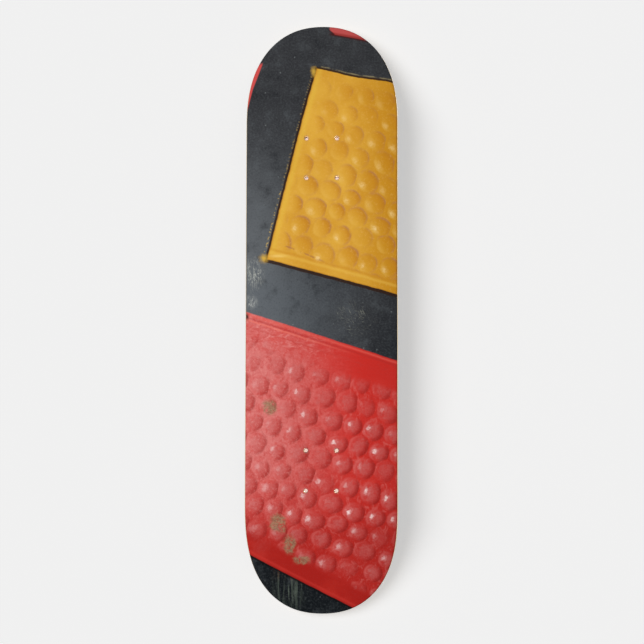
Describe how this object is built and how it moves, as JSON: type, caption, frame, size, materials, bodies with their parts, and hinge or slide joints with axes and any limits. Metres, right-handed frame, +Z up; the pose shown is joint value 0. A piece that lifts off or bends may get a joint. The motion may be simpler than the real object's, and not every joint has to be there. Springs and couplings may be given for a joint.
{
  "type": "skateboard deck",
  "caption": "Bare double-kick skateboard deck pressed from maple veneers, with a printed underside, grip tape on top and open truck bolt holes.",
  "frame": {"origin": "under the middle of the deck's length, on the surface that the flat strip of its underside rests on", "axes": "+X along the deck towards the nose, which is the slightly longer end; +Y towards the left edge; +Z up out of the grip tape, the side that is stood on"},
  "size_m": [0.8088, 0.2064, 0.0606],
  "materials": {
    "printed_film": "glossy printed film under clear lacquer",
    "maple_face": "satin lacquered hard maple, grain along the deck",
    "maple_core": "satin lacquered hard maple, grain along the deck",
    "maple_cross": "satin lacquered hard maple, grain across the deck",
    "grip_tape": "coarse black grit on an adhesive sheet"
  },
  "bodies": {
    "root": {"graphic_film": "printed_film", "bottom_face_veneer": "maple_face", "lower_core_veneer": "maple_core", "lower_cross_veneer": "maple_cross", "centre_core_veneer": "maple_core", "upper_cross_veneer": "maple_cross", "upper_core_veneer": "maple_core", "top_face_veneer": "maple_face", "grip_tape": "grip_tape"}
  },
  "joints": []
}
